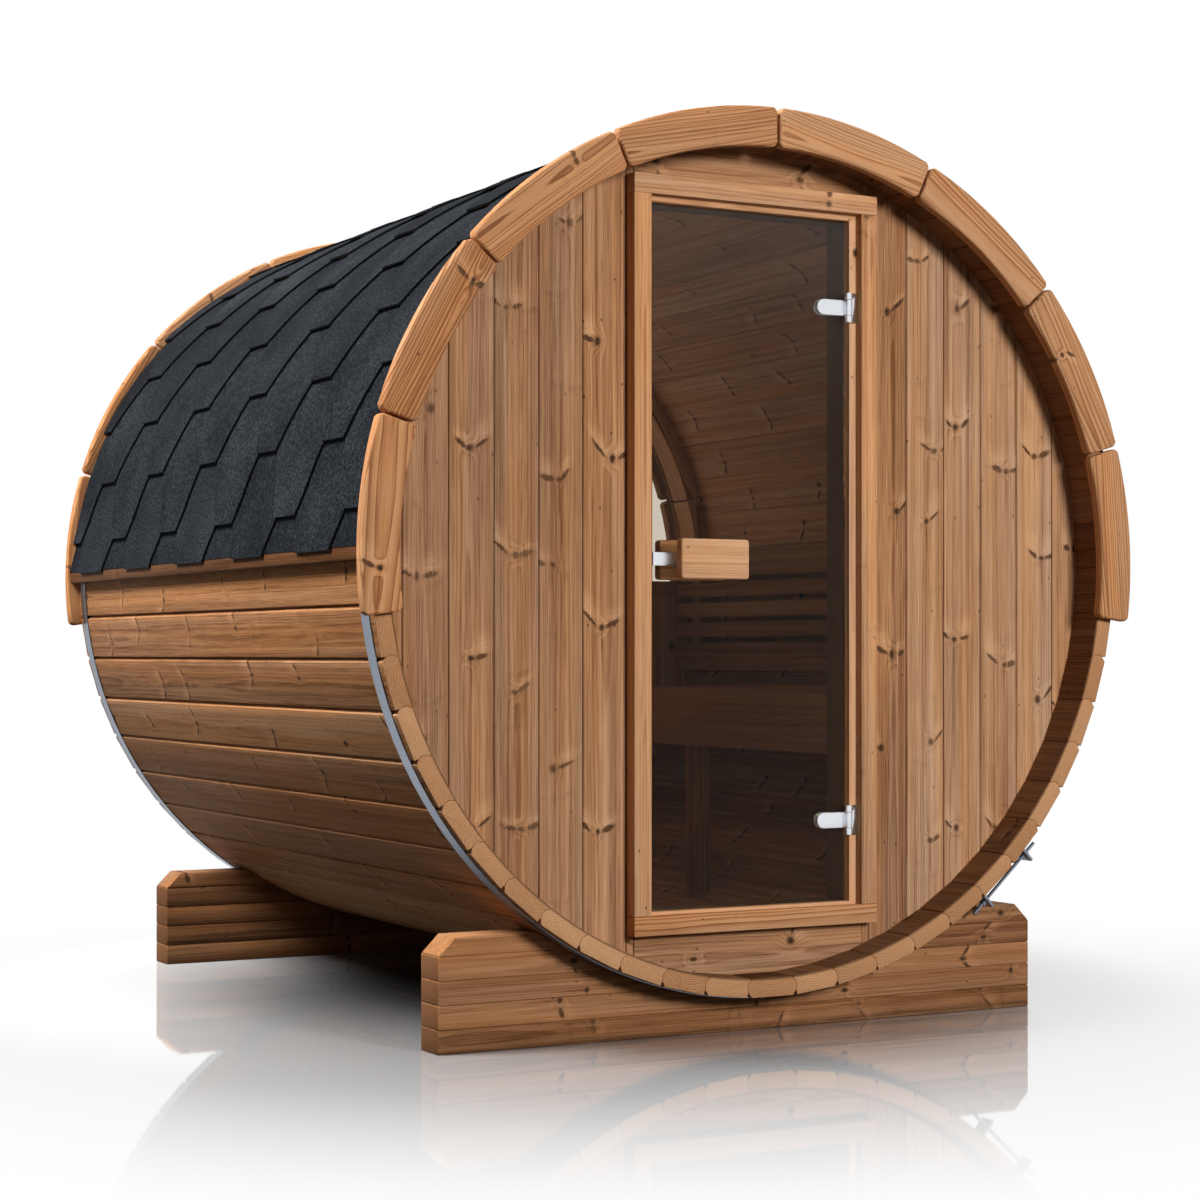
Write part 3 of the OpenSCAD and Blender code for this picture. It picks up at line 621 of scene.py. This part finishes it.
class Felt:
    """Slabs of roofing felt in one mesh: granules on top, cut edges round them."""

    def __init__(self):
        self.points, self.faces, self.grains, self.boards, self.slots = [], [], [], [], []

    def strip(self, side, rows, left, right, lifts, seed):
        """A closed slab: rows of angles, with its front and rear edge and its height in each."""
        start = len(self.points)
        for angle, y0, y1, lift in zip(rows, left, right, lifts):
            for y in (y0, (y0 + y1) / 2, y1):
                for height in (lift, max(lift - FELT_T, 0.0)):
                    self.points.append(roof_point(side, angle, y, height))
                    self.grains.append((y, math.radians(angle) * ROOF_R, seed))
                    self.boards.append((0.0, 0.0, seed))
        last = len(rows) - 1

        def quad(slot, *corners):
            face = [start + row * 6 + column * 2 + under for row, column, under in corners]
            self.faces.append(face if side > 0 else face[::-1])
            self.slots.append(slot)

        for n in range(last):
            for c in (0, 1):
                quad(0, (n, c, 0), (n + 1, c, 0), (n + 1, c + 1, 0), (n, c + 1, 0))
                quad(1, (n, c, 1), (n, c + 1, 1), (n + 1, c + 1, 1), (n + 1, c, 1))
            quad(1, (n, 0, 0), (n, 0, 1), (n + 1, 0, 1), (n + 1, 0, 0))
            quad(1, (n, 2, 0), (n + 1, 2, 0), (n + 1, 2, 1), (n, 2, 1))
        for c in (0, 1):
            quad(1, (0, c, 0), (0, c + 1, 0), (0, c + 1, 1), (0, c, 1))
            quad(1, (last, c, 0), (last, c, 1), (last, c + 1, 1), (last, c + 1, 0))

    def piece(self, name):
        mesh = bpy.data.meshes.new(name)
        mesh.from_pydata(self.points, [], self.faces)
        write(mesh, "grain", self.grains)
        write(mesh, "board", self.boards)
        soften(mesh, 40)
        made = add(name, mesh, "root")
        dress(made, felt, felt_edge)
        mesh.polygons.foreach_set("material_index", self.slots)
        return made


def course_lift(butt, angle):
    """Height of a course over the roof: up by a step over each course's height, out at the eave."""
    return SHINGLE_T + SHINGLE_STEP * (1.0 + (angle - butt) / COURSE_DEG) + kick(angle)


def half_width(butt, angle):
    """Half a tab's width at an angle: narrow at its butt, and whole where it joins the next tab."""
    up = (butt - angle) / COURSE_DEG
    return min(TAB_PITCH / 2, TAB_FLAT + TAB_SPREAD * up)


def rows_between(top, low):
    """Even angles from one to another."""
    return [top + (low - top) * i / RISE_ROWS for i in range(RISE_ROWS + 1)]


def shingle_half(side, name, node):
    """The courses on one side of the ridge, from under the eave's up."""
    rng = random.Random(7 if side > 0 else 11)
    courses = Felt()
    for course in range(-1, COURSES):
        butt = LOWEST_BUTT_DEG - course * COURSE_DEG
        rows = rows_between(max(butt - COURSES_DEEP * COURSE_DEG, 0.3), min(butt, EAVE_DEG + 0.5))
        lifts = [course_lift(butt, a) for a in rows]
        shift = 0.0 if course % 2 else TAB_PITCH / 2
        seed = 0.0
        for n in range(-4, 5):
            if n % STRIP_TABS == 0:
                seed = rng.uniform(0, 300)
            centre = n * TAB_PITCH + shift + TAB_OFFSET
            left = [max(-HALF_L, centre - half_width(butt, a)) for a in rows]
            right = [min(HALF_L, centre + half_width(butt, a)) for a in rows]
            keep = [i for i in range(len(rows)) if right[i] - left[i] > 0.002]
            if len(keep) > 1:
                kept = ([values[i] for i in keep] for values in (rows, left, right, lifts))
                courses.strip(side, *kept, seed)
    # Starter strip under the eave's tabs
    rows = rows_between(STARTER_DEG, EAVE_DEG + 0.2)
    lifts = [course_lift(LOWEST_BUTT_DEG + 2 * COURSE_DEG, a) for a in rows]
    courses.strip(side, rows, [-HALF_L] * len(rows), [HALF_L] * len(rows), lifts, rng.uniform(0, 300))
    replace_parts(courses.piece(name), node)


shingle_half(1, "shingle_courses_right", "shingles_right")
shingle_half(-1, "shingle_courses_left", "shingles_left")

# Caps along the ridge, of which every second one laps over the next one to the rear
CAP_COUNT = 9
CAP_L = 2 * HALF_L / CAP_COUNT
CAP_DEG = 5.5
CAP_LAP = 0.05
caps = Felt()
rows = rows_between(-CAP_DEG, CAP_DEG)
for n in range(CAP_COUNT):
    over = n % 2
    front = -HALF_L + n * CAP_L
    rear = min(front + CAP_L + CAP_LAP * over, HALF_L)
    lift = SHINGLE_T + SHINGLE_STEP + FELT_T * (1.1 + 0.25 * over)
    caps.strip(1, rows, *([value] * len(rows) for value in (front, rear, lift)), 17.0 * n)
caps.piece("ridge_caps")


# Stage: camera, lights and floor

CAMERA_PLACE = (-2.979, -5.680, 0.843)
CAMERA_TURN = (90.0, 0.0, -28.532)
LENS_MM = 75.06
SHIFT_Y = 0.0443

scene = bpy.context.scene
scene.view_settings.view_transform = "Standard"
camera = bpy.data.objects.new("camera", bpy.data.cameras.new("camera"))
camera.data.lens, camera.data.sensor_width, camera.data.shift_y = LENS_MM, 36.0, SHIFT_Y
camera.location = CAMERA_PLACE
camera.rotation_euler = [math.radians(a) for a in CAMERA_TURN]
scene.collection.objects.link(camera)
scene.camera = camera


def lamp(name, place, target, size, power):
    """A round soft light that no polished surface mirrors."""
    light = bpy.data.lights.new(name, "AREA")
    light.shape, light.size, light.energy = "DISK", size, power
    made = bpy.data.objects.new(name, light)
    made.location = place
    made.rotation_euler = (Vector(target) - Vector(place)).to_track_quat("-Z", "Y").to_euler()
    made.visible_glossy = False
    scene.collection.objects.link(made)


lamp("key", place=(1.0, -8.1, 2.85), target=(0.0, -0.9, 1.05), size=1.9, power=440.0)
lamp("fill", place=(-4.3, 0.3, 5.5), target=(-0.3, -0.1, 1.0), size=2.6, power=690.0)
lamp("back", place=(4.6, 5.2, 4.4), target=(0.0, 0.3, 1.0), size=2.4, power=430.0)


def shown(g):
    """1 for rays that see the background as the camera does, 0 for light that falls on the object."""
    path = g.node("LightPath").outputs
    seen = g.math("MAXIMUM", path["Is Camera Ray"], path["Is Glossy Ray"])
    return g.math("MAXIMUM", seen, path["Is Transmission Ray"])


# White where it shows, and a dimmer sky that lights from above
SKY_LIGHT = 0.17
SKY_LOW = 0.10
scene.world = bpy.data.worlds.new("world")
scene.world.use_nodes = True
g = Graph(tree=scene.world.node_tree)
background = scene.world.node_tree.nodes["Background"]
height = g.parts(g.node("TexCoord").outputs["Generated"])[2]
sky = height.step(-0.2, 0.9, SKY_LIGHT * SKY_LOW, SKY_LIGHT)
see = shown(g)
g.put((1.0, 1.0, 1.0, 1.0), background.inputs["Color"])
g.put(see + (1.0 - see) * sky, background.inputs["Strength"])

# Polished pale floor: it lights the object little, has a painted shadow under the barrel, mirrors what
# is near, and goes over into the white further out
FLOOR = 60.0
FLOOR_LIGHTS = (0.06, 0.058, 0.055, 1.0)
FLOOR_SHOWS = (0.80, 0.80, 0.80, 1.0)
FLOOR_SHADOW = (0.10, 0.10, 0.105, 1.0)
SHADOW_X, SHADOW_Y = 0.95, 1.1
WHITE_FROM, WHITE_AT = 1.0, 1.7
MIRROR = 0.82
MIRROR_FROM, MIRROR_TO = 0.5, 2.5
MIRROR_Y = -0.4
MIRROR_ROUGH = 0.03
floor_mesh = bpy.data.meshes.new("floor")
floor_mesh.from_pydata([(x * FLOOR, y * FLOOR, 0) for x, y in ((-1, -1), (1, -1), (1, 1), (-1, 1))], [],
                       [(0, 1, 2, 3)])
floor = bpy.data.objects.new("floor", floor_mesh)
scene.collection.objects.link(floor)
g = Graph("pale_floor")
x, y, _ = g.place()
far = (x ** 2.0 + y ** 2.0) ** 0.5
see = shown(g)
matt = g.node("BsdfDiffuse")
# Painted shadow: the floor's colour darkens under the barrel
under = (x.bell(SHADOW_X) * y.bell(SHADOW_Y)).step(0.3, 0.85)
g.put(g.mix(see, FLOOR_LIGHTS, g.mix(under, FLOOR_SHOWS, FLOOR_SHADOW)), matt.inputs["Color"])
mirror = g.node("BsdfGlossy")
g.put(MIRROR_ROUGH, mirror.inputs["Roughness"])
white = g.node("Emission")
pale = g.blend(far.step(WHITE_FROM, WHITE_AT) * see, matt, white)
ahead = (x ** 2.0 + (y - MIRROR_Y) ** 2.0) ** 0.5
polished = g.blend(ahead.step(MIRROR_FROM, MIRROR_TO, MIRROR, 0.0) * see, pale, mirror)
g.put(polished.outputs[0], g.tree.nodes["Material Output"].inputs["Surface"])
dress(floor, g.material)
